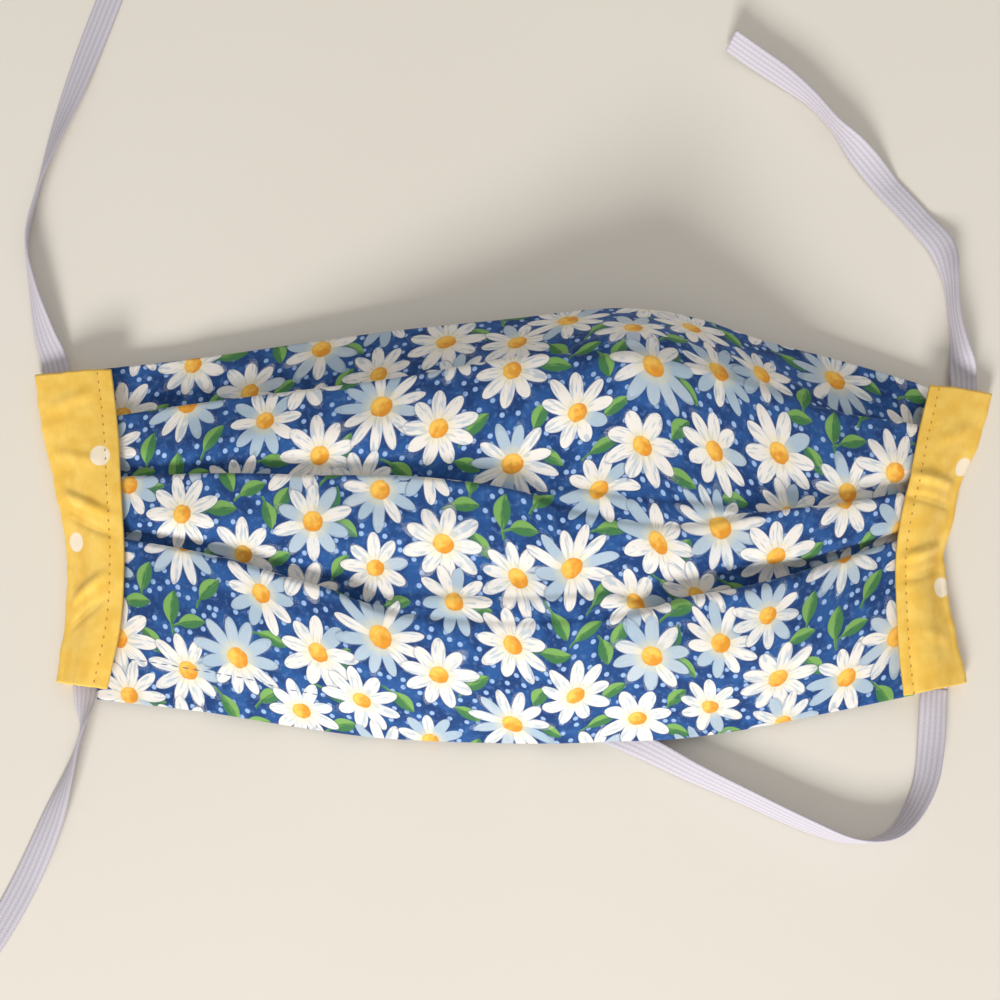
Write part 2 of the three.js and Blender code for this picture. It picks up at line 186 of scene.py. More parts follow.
TOPSTITCH_PITCH = 2.1
HEM_STITCH = {"above": 10.5, "pitch": 2.6, "from": -91.0, "to": -42.0}


# ------------------------------------------------------------------ curves
def through(places, values, at):
    """Smooth values at `at` through knots whose places run in one direction."""
    places, values = np.asarray(places, float), np.asarray(values, float)
    if places[-1] < places[0]:
        places, values = places[::-1], values[::-1]
    at = np.clip(np.asarray(at, float), places[0], places[-1])
    slope = np.empty_like(values)
    slope[1:-1] = (values[2:] - values[:-2]) / (places[2:] - places[:-2])
    slope[0] = (values[1] - values[0]) / (places[1] - places[0])
    slope[-1] = (values[-1] - values[-2]) / (places[-1] - places[-2])
    i = np.clip(np.searchsorted(places, at, side="right") - 1, 0, len(places) - 2)
    span = places[i + 1] - places[i]
    t = (at - places[i]) / span
    return (values[i] * (2 * t**3 - 3 * t**2 + 1) + slope[i] * span * (t**3 - 2 * t**2 + t)
            + values[i + 1] * (3 * t**2 - 2 * t**3) + slope[i + 1] * span * (t**3 - t**2))


def column(rows, columns, key, name, at):
    names = columns.split()
    return through(rows[:, names.index(key)], rows[:, names.index(name)], at)


def evenly(rows, columns, name, t):
    return through(np.linspace(0, 1, len(rows)), rows[:, columns.split().index(name)], t)


def mix(a, b, t):
    return a + (b - a) * t


# ------------------------------------------------------------------ meshes
def mesh_object(name, points, faces, smooth=True):
    """A mesh from places in millimetres, with none of it below the surface."""
    mesh = bpy.data.meshes.new(name)
    points = np.array(points, float)
    points[:, 2] = np.maximum(points[:, 2], 0)
    mesh.from_pydata((points * MM).tolist(), [], [list(map(int, f)) for f in faces])
    mesh.validate()
    if smooth:
        mesh.polygons.foreach_set("use_smooth", [True] * len(mesh.polygons))
    obj = bpy.data.objects.new(name, mesh)
    bpy.context.scene.collection.objects.link(obj)
    return obj


def grid_normals(grid):
    along = np.gradient(grid, axis=0)
    across = np.gradient(grid, axis=1)
    normals = np.cross(along, across)
    return normals / np.maximum(np.linalg.norm(normals, axis=2, keepdims=True), 1e-12)


def shell(grid, thickness):
    """Points and faces of a closed wall about a grid, and the face count of its first side."""
    rows, cols = grid.shape[:2]
    normals = grid_normals(grid)
    points = np.concatenate([(grid + normals * thickness / 2).reshape(-1, 3),
                             (grid - normals * thickness / 2).reshape(-1, 3)])
    index = np.arange(rows * cols).reshape(rows, cols)
    under = index + rows * cols
    a, b, c, d = index[:-1, :-1], index[1:, :-1], index[1:, 1:], index[:-1, 1:]
    top = np.stack([a, b, c, d], -1).reshape(-1, 4)
    bottom = (np.stack([a, d, c, b], -1) + rows * cols).reshape(-1, 4)
    rim = []
    for edge, low, flip in ((index[:, 0], under[:, 0], False), (index[:, -1], under[:, -1], True),
                            (index[0], under[0], True), (index[-1], under[-1], False)):
        quad = np.stack([edge[:-1], low[:-1], low[1:], edge[1:]], -1)
        rim.append(quad[:, ::-1] if flip else quad)
    return points, np.concatenate([top, bottom] + rim), len(top)


# ------------------------------------------------------------------ the panel
# Steps of each pleat's path: towards it, under its fold, round, back, over the fold's edge and
# on down; and the stretch of the mask, in x, where each pleat has opened.
PLEAT_STEPS = [(26, 8, 6, 7, 8, 10), (16, 8, 6, 7, 8, 10), (16, 8, 6, 7, 8, 10)]
OPEN_SPANS = [(12, 68), (12, 45), (-22, 22)]
HEM_STEPS = 40
PANEL_SECTIONS = 230
DENTED = (-92, 88)              # the stretch of the panel, in x, that is uneven
DENT_FADE = 12
BROAD_DENTS = {"size": (17, 11), "height": 0.55, "layer": 3.0}
SMALL_DENTS = {"size": (6, 5), "height": 0.16, "layer": 8.0}


def layer_height(shut):
    """A pleat's layers stand further apart halfway between open and folded."""
    return PLEAT_PITCH * (mix(OPEN_STEP, 1, shut) + 0.45 * math.sin(math.pi * shut))


def panel_profile(x):
    at = lambda name: float(column(PANEL, PANEL_COLUMNS, "x", name, x))
    gape = [1, 1, at("gape3")]
    ys = [at(f"fold{n}Y") for n in (1, 2, 3)]
    pleats = []
    for i, y in enumerate(ys):
        shut = float(np.clip(at(f"shut{i + 1}"), 0, 1))
        room = y - ys[i + 1] - PLEAT_ROOM if i < 2 else PLEAT_DEPTH
        pleats.append(dict(y=y, shut=shut, pitch=layer_height(shut) * gape[i],
                           depth=min(PLEAT_DEPTH, room)))
    top, hem = (at("topY"), at("topZ")), (at("hemY"), at("hemZ"))
    folds = [(y, at(f"fold{i + 1}Z") - 2 * PLEAT_PITCH * gape[i]) for i, y in enumerate(ys)]
    belly = (mix(folds[-1][0], hem[0], 0.6), mix(folds[-1][1], hem[1], 0.45))
    knots = np.array([top, *folds, belly, hem])
    return dict(top=top[0], hem=hem[0], pleats=pleats,
                height=lambda y: through(knots[:, 0], knots[:, 1], y))


def cloth_stops(profile):
    """Stops of the cloth's path over its lowest layer: place, height, heading, steps, arm."""
    stops = [(profile["top"], 0.0, 180.0, 0, None)]
    for i, pleat in enumerate(profile["pleats"]):
        y, shut, pitch, depth = (pleat[k] for k in ("y", "shut", "pitch", "depth"))
        turn = mix(OPEN_SPREAD / 3, pitch * 2 / 3, shut)
        back = 180 * (1 - shut)
        lean = 0.2 * pitch * math.sin(math.pi * shut)
        steps = PLEAT_STEPS[i]
        stops += [
            (y + mix(OPEN_SPREAD + 2, 1.8, shut), 0.0, 180.0, steps[0], None),
            (y + mix(OPEN_SPREAD, -depth, shut), 0.0, 180.0, steps[1], None),
            (y + mix(OPEN_SPREAD / 3, -depth, shut), pitch - lean, back, steps[2], turn),
            (y + mix(-OPEN_SPREAD / 3, 0, shut), pitch + lean, back, steps[3], None),
            (y + mix(-OPEN_SPREAD, 0, shut), 2 * pitch, 180.0, steps[4], turn),
            (y - mix(OPEN_SPREAD + 3, depth + 1.2, shut), 1.9 * pitch, 180.0, steps[5], None),
        ]
    stops.append((profile["hem"], 0.0, 180.0, HEM_STEPS, None))
    return stops


def bezier(a, b, c, d, steps):
    t = np.linspace(0, 1, steps + 1)[1:, None]
    return a * (1 - t)**3 + 3 * b * t * (1 - t)**2 + 3 * c * t**2 * (1 - t) + d * t**3


def panel_section(x):
    profile = panel_profile(x)
    stops = cloth_stops(profile)
    flat = [np.array([[stops[0][0], stops[0][1]]])]
    for (y0, h0, heading0, _, _), (y1, h1, heading1, steps, arm) in zip(stops, stops[1:]):
        p0, p1 = np.array([y0, h0]), np.array([y1, h1])
        ways = [np.array([math.cos(math.radians(a)), math.sin(math.radians(a))])
                for a in (heading0, heading1)]
        reach = np.linalg.norm(p1 - p0) / 3 if arm is None else arm
        flat.append(bezier(p0, p0 + ways[0] * reach, p1 - ways[1] * reach, p1, steps))
    y, h = np.concatenate(flat).T
    lean = np.arctan(profile["height"](y + 0.5) - profile["height"](y - 0.5))
    return np.stack([y - np.sin(lean) * h, profile["height"](y) + np.cos(lean) * h], -1)


def sewn_side(side, y):
    inner = column(CASINGS[side], CASING_COLUMNS, "innerY", "innerX", y)
    return inner + np.sign(inner) * SEAM_GRIP


def soft_dents(x, y):
    """Height of the cloth's slight unevenness, the same for the layers over one another."""
    flat = np.stack([np.ravel(x), np.ravel(y)], -1)
    total = 0
    for dents in (BROAD_DENTS, SMALL_DENTS):
        wide, long = dents["size"]
        total = total + dents["height"] * np.array([
            noise.noise(Vector((a / wide, b / long, dents["layer"]))) for a, b in flat])
    return total.reshape(np.shape(x))


def panel_grid(steps):
    grid = []
    for t in np.linspace(0, 1, steps + 1):
        section = panel_section(mix(PANEL_ENDS["left"], PANEL_ENDS["right"], t))
        y, z = section.T
        grid.append(np.stack([mix(sewn_side("left", y), sewn_side("right", y), t), y, z], -1))
    grid = np.array(grid)
    from_seam = np.minimum(grid[:, :, 0] - DENTED[0], DENTED[1] - grid[:, :, 0])
    fade = np.clip(from_seam / DENT_FADE, 0, 1)
    grid[:, :, 2] += soft_dents(grid[:, :, 0], grid[:, :, 1]) * fade
    return grid


def cloth_lengths(grid):
    """Each grid point's x, and its distance along its section's cloth from the first edge."""
    down = np.linalg.norm(np.diff(grid, axis=1), axis=2)
    down = np.concatenate([np.zeros((len(grid), 1)), np.cumsum(down, axis=1)], axis=1)
    return grid[:, :, 0].copy(), down


def print_down(across, down):
    """How far down the print each grid point is: true to the cloth along each strip, unbroken
    where a pleat is open, and cut by the hidden cloth where it is folded."""
    place = down.copy()
    level = np.zeros(len(down))
    first, after_fold = 0, 0
    for (lead, under, turn, back, over, on), span in zip(PLEAT_STEPS, OPEN_SPANS):
        hidden = first + after_fold + lead + under
        shown = hidden + turn + back
        edge = shown + over
        middle = across[:, edge]
        run = down[:, edge] - down[:, first]
        next_level = level + np.interp(np.clip(middle, *span), middle, run)
        place[:, first:hidden + 1] = (level - down[:, first])[:, None] + down[:, first:hidden + 1]
        place[:, shown:edge + 1] = (next_level - down[:, edge])[:, None] + down[:, shown:edge + 1]
        inner = np.linspace(0, 1, shown - hidden + 1)[None]
        place[:, hidden:shown + 1] = mix(place[:, hidden, None], place[:, shown, None], inner)
        level, first, after_fold = next_level, edge, on
    place[:, first:] = (level - down[:, first])[:, None] + down[:, first:]
    return place


def add_uv(obj, across, down):
    """Adds the cloth coordinates as the UV layer "cloth", in centimetres; returns them in mm."""
    mesh = obj.data
    uv = np.stack([np.tile(across.ravel(), 2), np.tile(down.ravel(), 2)], -1)
    corner = np.empty(len(mesh.loops), int)
    mesh.loops.foreach_get("vertex_index", corner)
    layer = mesh.uv_layers.new(name="cloth")
    layer.data.foreach_set("uv", (uv[corner] / MM_PER_UV).ravel())
    return uv[corner]


def repeated(rows, reach):
    """Every copy of the repeat's rows over a cloth that is `reach` mm wide and long."""
    copies = []
    for across in range(-1, math.ceil(reach[0] / REPEAT[0]) + 1):
        for down in range(-2, math.ceil(reach[1] / REPEAT[1]) + 1):
            copy = rows.copy()
            copy[:, :2] *= CHART_SCALE
            copy[:, 0] += REPEAT_START[0] + across * REPEAT[0]
            copy[:, 1] += REPEAT_START[1] + down * REPEAT[1] + across * COLUMN_DROP % REPEAT[1]
            copies.append(copy)
    return np.concatenate(copies)


def place_motifs(mesh, name, corners, motifs, reach, turn, looks, slots):
    """Writes the local coordinates of the motifs that reach each face, later ones on top."""
    faces = len(corners) // 4
    centres = corners.reshape(faces, 4, 2).mean(1)
    gap = np.linalg.norm(centres[:, None] - motifs[None, :, :2], axis=2) / reach
    chosen = np.argsort(gap, axis=1)[:, :slots]
    near = np.take_along_axis(gap, chosen, 1) < MOTIF_MARGIN
    chosen = np.sort(np.where(near, chosen, -1), axis=1)
    for slot in range(slots):
        motif = np.repeat(chosen[:, slot], 4)
        gone = motif < 0
        offset = (corners - motifs[motif, :2]) / reach[motif, None]
        angle = np.radians(turn[motif])
        u = offset[:, 0] * np.cos(angle) - offset[:, 1] * np.sin(angle)
        v = -offset[:, 0] * np.sin(angle) - offset[:, 1] * np.cos(angle)
        local = np.stack([u, v, (motif * SEED_STEP) % 1 * SEED_SPREAD], -1)
        local[gone] = (FAR_AWAY, FAR_AWAY, 0)
        write_vectors(mesh, f"{name}_{slot}", local)
        if looks is not None:
            look = np.concatenate([looks[motif], np.zeros((len(motif), 1))], -1)
            write_vectors(mesh, f"{name}_look_{slot}", look)


def write_vectors(mesh, name, values):
    layer = mesh.attributes.new(name, "FLOAT_VECTOR", "CORNER")
    layer.data.foreach_set("vector", np.ascontiguousarray(values, dtype=np.float32).ravel())


def panel():
    grid = panel_grid(PANEL_SECTIONS)
    points, faces, one_side = shell(grid, PANEL_CLOTH)
    obj = mesh_object("panel_cloth", points, faces)
    across, down = cloth_lengths(grid)
    down = print_down(across, down)
    corners = add_uv(obj, across, down)
    reach = (float(np.ptp(across)), float(down.max()))
    flowers, leaves = repeated(FLOWERS, reach), repeated(LEAVES, reach)
    petals_and_tone = flowers[:, 3:5]
    place_motifs(obj.data, "flower", corners, flowers, flowers[:, 2] * FLOWER_SCALE,
                 flowers[:, 5], petals_and_tone, FLOWER_SLOTS)
    leaf_reach = leaves[:, 2] / 2 * LEAF_SCALE * LEAF_REACH
    place_motifs(obj.data, "leaf", corners, leaves, leaf_reach, leaves[:, 3], None, LEAF_SLOTS)
    inside = np.zeros(len(faces), np.int32)
    inside[:one_side] = 1
    obj.data.materials.append(daisy_cotton())
    obj.data.materials.append(inside_cotton())
    obj.data.polygons.foreach_set("material_index", inside)
    return obj, grid


# ------------------------------------------------------------------ the casings
CASING_SECTIONS = 150
CASING_POINTS = 110             # round each section
SEAM_VALLEY = {"depth": 0.22, "width": 0.7}     # that the topstitch pulls in


def casing_grid(side, steps):
    rows = CASINGS[side]
    end = PANEL_ENDS[side]
    inside = panel_profile(end)["height"]
    at_mouth = panel_profile(end - math.copysign(SEAM_GRIP, end))["height"]
    half = CASING_CLOTH / 2
    bend = (CHANNEL_HEIGHT + CASING_CLOTH) / 2
    grid = []
    for t in np.linspace(0, 1, steps + 1):
        outer_x, outer_y, inner_x, inner_y = (
            float(evenly(rows, CASING_COLUMNS, name, t)) for name in CASING_COLUMNS.split())
        width = abs(inner_x - outer_x) - half
        slope = width - 2 * TURNED_EDGE
        upper = float(at_mouth(inner_y)) + 2 * PLEAT_PITCH + CASING_CLOTH + SEAM_GAP + SEAM_EASE
        lower = max(float(inside(inner_y)) - CASING_CLOTH - SEAM_GAP - SEAM_EASE, half)
        section = [
            [width, upper], [width - TURNED_EDGE, upper], [slope, upper - 0.1],
            [mix(bend, slope, 0.62), mix(2 * bend, upper - half, 0.72) + half],
            [mix(bend, slope, 0.28), mix(2 * bend, upper - half, 0.3) + half],
        ]
        for turn in np.linspace(0, math.pi, 5):
            section.append([bend - math.sin(turn) * bend, half + bend + math.cos(turn) * bend])
        section += [[FLAT_UNDERSIDE / 2, half], [FLAT_UNDERSIDE, half],
                    [mix(FLAT_UNDERSIDE, width, 0.5), mix(half, lower, 0.5)], [width, lower]]
        section = np.array(section)
        share = (section[:, 0] + half) / (width + half)
        grid.append(np.stack([mix(outer_x, inner_x, share), mix(outer_y, inner_y, share),
                              section[:, 1]], -1))
    return np.array(grid)


def refine(grid, count):
    """A grid whose rows have `count` evenly spaced points along a smooth curve."""
    length = np.linalg.norm(np.diff(grid, axis=1), axis=2).mean(0)
    place = np.concatenate([[0], np.cumsum(length)])
    at = np.linspace(0, place[-1], count)
    return np.stack([np.stack([through(place, row[:, k], at) for k in range(3)], -1)
                     for row in grid])


def wrinkle(grid, side):
    """Height that the pressed folds and the cloth's unevenness add to the upper flap."""
    x, y = grid[:, :, 0], grid[:, :, 1]
    total = np.zeros_like(x)
    for x0, y0, x1, y1, width, height in WRINKLES[side]:
        run = np.hypot(x1 - x0, y1 - y0)
        t = ((x - x0) * (x1 - x0) + (y - y0) * (y1 - y0)) / run**2
        off = ((x - x0) * (y1 - y0) - (y - y0) * (x1 - x0)) / run
        fade = np.exp(-(np.clip(np.abs(t - 0.5) - 0.3, 0, None) / 0.3)**2)
        total += height * np.exp(-(off / width)**2) * fade
    return total + 0.3 * soft_dents(3 * x, 2 * y)


def casing(side):
    grid = refine(casing_grid(side, CASING_SECTIONS), CASING_POINTS)
    along, round_it = np.meshgrid(np.linspace(0, 1, len(grid)),
                                  np.linspace(0, 1, CASING_POINTS), indexing="ij")
    on_top = np.clip((0.44 - round_it) / 0.08, 0, 1)
    grid[:, :, 2] += np.maximum(wrinkle(grid, side), VALLEY_ROOM) * on_top
    near_bend = np.exp(-((round_it - 0.45) / 0.16)**2)
    outwards = np.sign(grid[:, :, :1].mean())
    place = np.full_like(grid[:, :, 0], PANEL_ENDS[side])
    grid[:, :, 0] += outwards * EDGE_WAVE * near_bend * soft_dents(place, 2.2 * grid[:, :, 1])
    off_stitch = cloth_lengths(grid)[1] - TOPSTITCH[side]
    valley = np.exp(-(off_stitch / SEAM_VALLEY["width"])**2)
    grid[:, :, 2] -= SEAM_VALLEY["depth"] * valley * on_top
    ends = np.clip(np.abs(along - 0.5) * 2 - 0.96, 0, None) / 0.04
    grid[:, :, 1] += 0.35 * ends * soft_dents(4 * grid[:, :, 0], 9 * round_it * 20)
    seam = stitch_line(grid, TOPSTITCH[side], TOPSTITCH_PITCH, CASING_CLOTH)
    down = cloth_lengths(grid)[1]
    rows = np.linalg.norm(np.diff(grid, axis=0), axis=2).mean(1)
    length = np.broadcast_to(np.concatenate([[0], np.cumsum(rows)])[:, None], down.shape)
    if side == "right":
        grid, length, down = grid[::-1], length[::-1], down[::-1]
    points, faces, _ = shell(grid, CASING_CLOTH)
    obj = mesh_object(f"casing_cloth_{side}", points, faces)
    add_uv(obj, length, down)
    obj.data.materials.append(yellow_cotton(side))
    return obj, seam


# ------------------------------------------------------------------ stitches
def stitch_line(grid, inset, pitch, thickness, start=None, stop=None):
    """Places, headings and outward normals of stitches that run along a grid, `inset` mm in."""
    down = cloth_lengths(grid)[1]
    normals = grid_normals(grid)
    places, outward = [], []
    for i in range(len(grid)):
        wanted = inset if inset > 0 else down[i, -1] + inset
        places.append([np.interp(wanted, down[i], grid[i, :, k]) for k in range(3)])
        outward.append([np.interp(wanted, down[i], normals[i, :, k]) for k in range(3)])
    places, outward = np.array(places), np.array(outward)
    outward *= np.where(outward[:, 2:] < 0, -1, 1)
    keep = np.ones(len(places), bool)
    if start is not None:
        keep = (places[:, 0] > start) & (places[:, 0] < stop)
    places, outward = places[keep], outward[keep]
    walked = np.concatenate([[0], np.cumsum(np.linalg.norm(np.diff(places, axis=0), axis=1))])
    at = np.arange(pitch / 2, walked[-1], pitch)
    centre = np.stack([np.interp(at, walked, places[:, k]) for k in range(3)], -1)
    ahead = np.stack([np.interp(at + 0.2, walked, places[:, k]) for k in range(3)], -1)
    normal = np.stack([np.interp(at, walked, outward[:, k]) for k in range(3)], -1)
    return centre + normal * thickness / 2, ahead - centre, normal


def stitches(name, seam, length, width, height, mat):
    """One mesh of small rounded threads lying along a seam."""
    rings, sides = 7, 8
    points, faces = [], []
    for centre, heading, normal in zip(*seam):
        if np.linalg.norm(heading) < 1e-6:
            continue
        along = heading / np.linalg.norm(heading)
        cross = np.cross(normal, along)
        cross /= np.linalg.norm(cross)
        first = len(points)
        for ring in range(rings):
            polar = math.pi * (ring + 0.5) / rings
            for k in range(sides):
                turn = 2 * math.pi * k / sides
                points.append(centre - along * math.cos(polar) * length / 2
                              + cross * math.sin(polar) * math.cos(turn) * width / 2
                              + normal * math.sin(polar) * math.sin(turn) * height / 2)
        for ring in range(rings - 1):
            for k in range(sides):
                a, b = first + ring * sides + k, first + ring * sides + (k + 1) % sides
                faces.append([a, b, b + sides, a + sides])
        faces.append([first + k for k in range(sides)][::-1])
        faces.append([first + (rings - 1) * sides + k for k in range(sides)])
    obj = mesh_object(name, points, faces)
    obj.data.materials.append(mat)
    return obj


# ------------------------------------------------------------------ the elastics
ELASTIC_RIBS = 5
RING_STEP = 0.6                 # from one ring of a braid's mesh to the next
RING_POINTS = 60
ROUTE_SAMPLES = 4000            # places that a route's length is measured at
EDGE_LOOP = 1.5                 # length of one scallop of the braid's edge


def elastic_line(side):
    """Places, headings and rolls along a route, an even step apart."""
    route = ROUTES[side]
    at = np.linspace(0, 1, ROUTE_SAMPLES)
    plan = np.stack([evenly(route, ROUTE_COLUMNS, name, at) for name in ("x", "y")], -1)
    walked = np.concatenate([[0], np.cumsum(np.linalg.norm(np.diff(plan, axis=0), axis=1))])
    even = np.interp(np.arange(0, walked[-1], RING_STEP), walked, at)
    x, y, lift, roll = (evenly(route, ROUTE_COLUMNS, n, even) for n in ROUTE_COLUMNS.split())
    roll = np.radians(np.clip(roll, 0, 180))
    stand = np.sin(roll) * ELASTIC_WIDTH / 2 + abs(np.cos(roll)) * ELASTIC_THICKNESS / 2
    centre = np.stack([x, y, FLOOR_GAP + np.maximum(lift, 0) + stand], -1)
    heading = np.gradient(centre[:, :2], axis=0)
    heading /= np.linalg.norm(heading, axis=1, keepdims=True)
    return centre, heading, roll


def ribbon(name, centre, heading, roll, first_step):
    """A flat ribbed braid with lightly looped edges, closed at both its ends."""
    count = RING_POINTS
    angle = np.linspace(0, 2 * math.pi, count, endpoint=False)
    flat = np.sign(np.cos(angle)) * np.abs(np.cos(angle))**0.8
    side = np.sign(np.sin(angle)) * np.abs(np.sin(angle))**0.6
    ribs = 1 - 0.12 * (0.5 + 0.5 * np.cos(2 * math.pi * ELASTIC_RIBS * (flat + 1) / 2))
    walked = (np.arange(len(centre)) + first_step) * RING_STEP
    loops = 1 - 0.02 * (0.5 + 0.5 * np.cos(2 * math.pi * walked / EDGE_LOOP))
    a = flat[None] * loops[:, None] * ELASTIC_WIDTH / 2
    b = np.broadcast_to(side * ribs * ELASTIC_THICKNESS / 2, a.shape)
    along = np.concatenate([heading, np.zeros((len(heading), 1))], 1)
    level = np.stack([-along[:, 1], along[:, 0], 0 * along[:, 0]], -1)
    rise = np.array([0, 0, 1.0])
    across = level * np.cos(roll)[:, None] + rise * np.sin(roll)[:, None]
    up = rise * np.cos(roll)[:, None] - level * np.sin(roll)[:, None]
    rings = centre[:, None] + across[:, None] * a[:, :, None] + up[:, None] * b[:, :, None]
    i, k = np.meshgrid(np.arange(len(centre) - 1), np.arange(count), indexing="ij")
    n = (k + 1) % count
    faces = np.stack([i * count + k, i * count + n, (i + 1) * count + n, (i + 1) * count + k],
                     -1).reshape(-1, 4).tolist()
    last = (len(centre) - 1) * count
    faces.append(list(range(count))[::-1])
    faces.append([last + k for k in range(count)])
    obj = mesh_object(name, rings.reshape(-1, 3), faces)
    corner = np.empty(len(obj.data.loops), int)
    obj.data.loops.foreach_get("vertex_index", corner)
    uv = np.stack([np.tile(flat * ELASTIC_WIDTH / 2, len(centre)), np.repeat(walked, count)], -1)
    obj.data.uv_layers.new(name="cloth").data.foreach_set("uv", (uv[corner] / MM_PER_UV).ravel())
    return obj


# ------------------------------------------------------------------ materials
def srgb(red, green, blue):
    """Linear colour of a paint given as 0 to 255 levels."""
    levels = [v / 255 for v in (red, green, blue)]
    return (*[v / 12.92 if v < 0.04045 else ((v + 0.055) / 1.055)**2.4 for v in levels], 1)


PETAL_WHITE, PETAL_BLUE = srgb(238, 233, 227), srgb(168, 190, 208)
PETAL_STREAK, PETAL_RIM = srgb(176, 193, 206), srgb(160, 182, 214)
PETAL_GLOW = srgb(238, 222, 160)
CENTRE_DARK, CENTRE_LIGHT, CENTRE_RIM = srgb(226, 150, 46), srgb(252, 202, 92), srgb(206, 130, 40)
LEAF_DARK, LEAF_LIGHT, LEAF_RIB = srgb(66, 122, 74), srgb(124, 172, 92), srgb(52, 100, 60)
GROUND_DARK, GROUND_MID, GROUND_LIGHT = srgb(24, 60, 116), srgb(38, 86, 150), srgb(82, 118, 172)
# MOTIF_SHADE is the colour of the painted shadow round each flower and leaf
SPECK_BLUE, MOTIF_SHADE = srgb(164, 194, 236), srgb(34, 60, 112)
INSIDE_DARK, INSIDE_LIGHT = srgb(150, 168, 200), srgb(184, 196, 216)
YELLOW_DARK, YELLOW_LIGHT, YELLOW_SLUB = srgb(240, 192, 78), srgb(250, 210, 104), srgb(226, 170, 62)
DOT_WHITE = srgb(252, 242, 224)
BRAID_GROOVE_SHADE, BRAID_RIB, BRAID_SHADE = srgb(190, 185, 197), srgb(206, 202, 211), srgb(168, 162, 178)
FLOOR_DARK, FLOOR_LIGHT = srgb(226, 220, 209), srgb(233, 228, 218)
TAN_THREAD, BLUE_THREAD = (206, 152, 72), (88, 114, 168)      # 0 to 255 levels


class Nodes:
    """Short ways to add shader nodes to one tree. A value is a number, a colour or a socket."""

    def __init__(self, tree):
        self.tree = tree

    def put(self, socket, value):
        if isinstance(value, bpy.types.NodeSocket):
            self.tree.links.new(value, socket)
        elif value is not None:
            socket.default_value = value

    def add(self, kind, *values, **settings):
        node = self.tree.nodes.new("ShaderNode" + kind)
        for name, setting in settings.items():
            setattr(node, name, setting)
        for socket, value in zip(node.inputs, values):
            self.put(socket, value)
        return node

    def math(self, operation, *values):
        return self.add("Math", *values, operation=operation).outputs[0]

    def edge(self, value, low, high):
        """0 below low, 1 above high, smooth between; low may be the higher of the two."""
        node = self.add("MapRange", value, low, high, interpolation_type="SMOOTHSTEP")
        return node.outputs[0]

    def blend(self, share, under, over):
        node = self.add("Mix", data_type="RGBA")
        self.put(node.inputs[0], share)
        self.put(node.inputs[6], under)
        self.put(node.inputs[7], over)
        return node.outputs[2]

    def noise(self, vector, scale, detail=2.0):
        node = self.add("TexNoise")
        self.put(node.inputs["Vector"], vector)
        self.put(node.inputs["Scale"], scale)
        self.put(node.inputs["Detail"], detail)
        return node.outputs[0]

    def vector(self, x, y, z=0.0):
        return self.add("CombineXYZ", x, y, z).outputs[0]

    def split(self, vector):
        return self.add("SeparateXYZ", vector).outputs

    def cloth(self):
        """Cloth coordinates in millimetres."""
        node = self.add("UVMap", uv_map="cloth")
        return self.add("VectorMath", node.outputs[0], (MM_PER_UV, MM_PER_UV, MM_PER_UV),
                        operation="MULTIPLY").outputs[0]


def weave_height(nodes, pitch):
    """Height of a plain weave whose threads are `pitch` mm apart."""
    u, v, _ = nodes.split(nodes.cloth())
    turns = [nodes.math("SINE", nodes.math("MULTIPLY", side, 2 * math.pi / pitch))
             for side in (u, v)]
    return nodes.math("MULTIPLY", *turns)


def cloth_material(name, colour_of, pitch, roughness, sheen, slub):
    """A matt cloth: its colour from `colour_of`, its bump from a weave and soft slubs."""
    mat = bpy.data.materials.new(name)
    mat.use_nodes = True
    shader = mat.node_tree.nodes["Principled BSDF"]
    nodes = Nodes(mat.node_tree)
    nodes.put(shader.inputs["Base Color"], colour_of(nodes))
    shader.inputs["Sheen Weight"].default_value = sheen
    shader.inputs["Sheen Roughness"].default_value = 0.5
    shader.inputs["Specular IOR Level"].default_value = 0.25
    soft = nodes.noise(nodes.cloth(), 0.6, 4.0)
    nodes.put(shader.inputs["Roughness"], nodes.math("MULTIPLY_ADD", soft, 0.1, roughness))
    height = nodes.math("MULTIPLY_ADD", soft, slub, weave_height(nodes, pitch))
    bump = nodes.add("Bump")
    bump.inputs["Strength"].default_value = 0.35
    bump.inputs["Distance"].default_value = 0.00006
    nodes.put(bump.inputs["Height"], height)
    nodes.put(shader.inputs["Normal"], bump.outputs[0])
    return mat


def motif_group(name, inputs, build):
    """A node group that paints one motif from its local coordinates."""
    group = bpy.data.node_groups.new(name, "ShaderNodeTree")
    for label in inputs:
        group.interface.new_socket(label, in_out="INPUT", socket_type="NodeSocketVector")
    for label, kind in (("Colour", "Color"), ("Mask", "Float"), ("Shade", "Float")):
        group.interface.new_socket(label, in_out="OUTPUT", socket_type="NodeSocket" + kind)
    start, end = group.nodes.new("NodeGroupInput"), group.nodes.new("NodeGroupOutput")
    nodes = Nodes(group)
    for socket, value in zip(end.inputs, build(nodes, *start.outputs[:len(inputs)])):
        nodes.put(socket, value)
    return group


